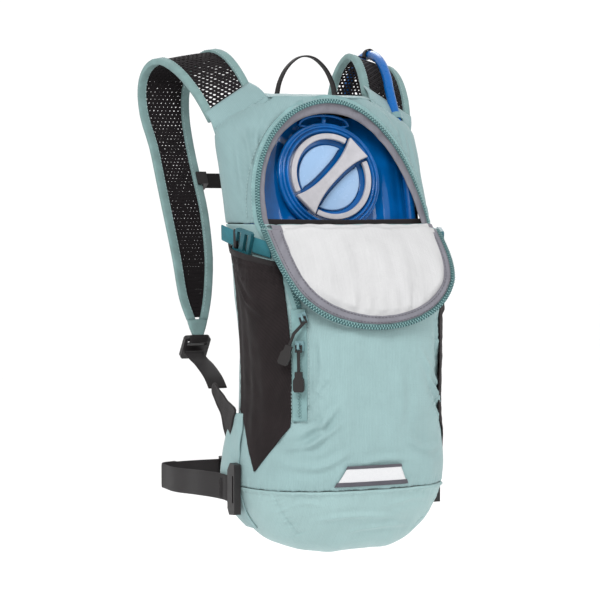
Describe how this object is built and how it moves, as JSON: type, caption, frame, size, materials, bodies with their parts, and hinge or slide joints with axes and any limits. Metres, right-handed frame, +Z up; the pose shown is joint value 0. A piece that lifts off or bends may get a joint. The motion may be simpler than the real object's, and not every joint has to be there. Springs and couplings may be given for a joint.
{
  "type": "hydration pack",
  "caption": "Slim zipped pack with a capped drinking reservoir and tube, folding front flap, mesh shoulder straps, sternum strap and hip belt.",
  "frame": {"origin": "centre of the flat middle back pad's face, which lies against the wearer's back", "axes": "+Z up as worn, +Y towards the wearer, -Y is the pack's front, +X is the pack's right as seen from the front"},
  "size_m": [0.2696, 0.3042, 0.501],
  "materials": {
    "ripstop_teal": "fine ribbed ripstop nylon, light sheen",
    "mesh_black": "black stretch mesh and spacer mesh",
    "lining_light": "smooth pale coated lining",
    "trim_grey": "grey binding tape",
    "webbing_black": "flat woven webbing",
    "webbing_teal": "flat woven teal webbing",
    "binding_teal": "folded edge binding",
    "buckle_black": "moulded acetal, fine texture",
    "buckle_teal": "moulded acetal",
    "slider_teal": "coated zip slider",
    "zip_teal": "nylon zip coil",
    "pull_black": "moulded rubber over cord",
    "bag_blue": "clear blue film, welded",
    "cap_blue": "clear blue moulding",
    "handle_grey": "satin grey moulding",
    "tube_blue": "clear blue tubing",
    "valve_soft": "soft silicone",
    "reflective": "reflective film, dark edge strips"
  },
  "bodies": {
    "pack": {"front_panel": "ripstop_teal", "bottom_panel": "ripstop_teal", "side_panel_left": "ripstop_teal", "side_panel_right": "ripstop_teal", "upper_panel": "ripstop_teal", "top_panel": "ripstop_teal", "back_panel": "mesh_black", "back_pad": "mesh_black", "back_pads_outer": "mesh_black", "side_pocket_left": "mesh_black", "side_pocket_right": "mesh_black", "sleeve_divider": "lining_light", "reservoir_bag": "bag_blue", "reservoir_neck": "bag_blue", "reservoir_hanger": "cap_blue", "tube_elbow": "cap_blue", "drink_tube": "tube_blue", "tube_port": "buckle_black", "valve_body": "buckle_black", "mouthpiece": "valve_soft", "tube_keepers": "webbing_black", "strap_pad_left": "mesh_black", "strap_pad_right": "mesh_black", "strap_binding_left": "binding_teal", "strap_binding_right": "binding_teal", "strap_buckle_left": "buckle_black", "strap_buckle_right": "buckle_black", "strap_webs": "webbing_black", "strap_wings": "webbing_black", "side_webs": "webbing_teal", "side_buckle_left": "buckle_teal", "side_buckle_right": "buckle_teal", "belt_web_left": "webbing_black", "belt_web_right": "webbing_black", "belt_toggles": "buckle_black", "belt_buckle_female": "buckle_black", "main_zip": "zip_teal", "stash_zip": "zip_teal", "reflective_label": "reflective"},
    "flap": {"flap_shell": "ripstop_teal", "flap_lining": "lining_light", "flap_zip": "zip_teal"},
    "cap": {"reservoir_cap": "cap_blue", "cap_handle": "handle_grey"},
    "zip_slider_left": {"main_slider_left": "slider_teal"},
    "zip_pull_left": {"main_pull_left": "pull_black"},
    "stash_zip_slider": {"stash_slider": "slider_teal"},
    "stash_zip_pull": {"stash_pull": "pull_black"},
    "shutoff_lever": {"valve_lever": "cap_blue"},
    "sternum_strap": {"sternum_rail_left": "buckle_black", "sternum_rail_right": "buckle_black", "sternum_web_left": "webbing_black", "sternum_web_right": "webbing_black", "sternum_buckle_female": "buckle_black"},
    "sternum_male": {"sternum_buckle_male": "buckle_black"},
    "belt_male": {"belt_buckle_male": "buckle_black"},
    "haul": {"haul_loop": "webbing_black"}
  },
  "joints": [
    {"name": "flap_fold", "type": "hinge", "parent": "pack", "child": "flap", "pos_m": [0, -0.062, 0.104], "axis": [-1, 0, 0], "range_deg": [0, 145]},
    {"name": "cap_turn", "type": "hinge", "parent": "pack", "child": "cap", "pos_m": [0, -0.016, 0.15], "axis": [0, -0.9744, 0.225], "range_deg": [0, 180]},
    {"name": "zip_left_slide", "type": "slide", "parent": "pack", "child": "zip_slider_left", "axis": [-0.2132, 0.2738, 0.9379], "range_m": [0, 0.0256]},
    {"name": "zip_left_pull_swing", "type": "hinge", "parent": "zip_slider_left", "child": "zip_pull_left", "pos_m": [-0.07386, -0.09767, 0.0166], "axis": [0.7686, -0.5456, 0.334], "range_deg": [-90, 0]},
    {"name": "stash_slide", "type": "slide", "parent": "pack", "child": "stash_zip_slider", "axis": [0, -0.0065, -1], "range_m": [0, 0.056]},
    {"name": "stash_pull_swing", "type": "hinge", "parent": "stash_zip_slider", "child": "stash_zip_pull", "pos_m": [-0.07737, -0.09688, -0.00997], "axis": [-0.7301, 0.6834, -0.0044], "range_deg": [0, 90]},
    {"name": "lever_turn", "type": "hinge", "parent": "pack", "child": "shutoff_lever", "pos_m": [0.10337, 0.12963, 0.11417], "axis": [0, -0.9337, 0.3582], "range_deg": [-45, 45]},
    {"name": "sternum_height", "type": "slide", "parent": "pack", "child": "sternum_strap", "axis": [0, 0.4927, 0.8702], "range_m": [-0.012, 0.012]},
    {"name": "sternum_release", "type": "slide", "parent": "sternum_strap", "child": "sternum_male", "axis": [-1, 0, 0], "range_m": [0, 0.015]},
    {"name": "belt_release", "type": "slide", "parent": "pack", "child": "belt_male", "axis": [-1, 0, 0], "range_m": [0, 0.024]},
    {"name": "haul_swing", "type": "hinge", "parent": "pack", "child": "haul", "pos_m": [0, 0.0444, 0.2285], "axis": [1, 0, 0], "range_deg": [-30, 30]}
  ]
}
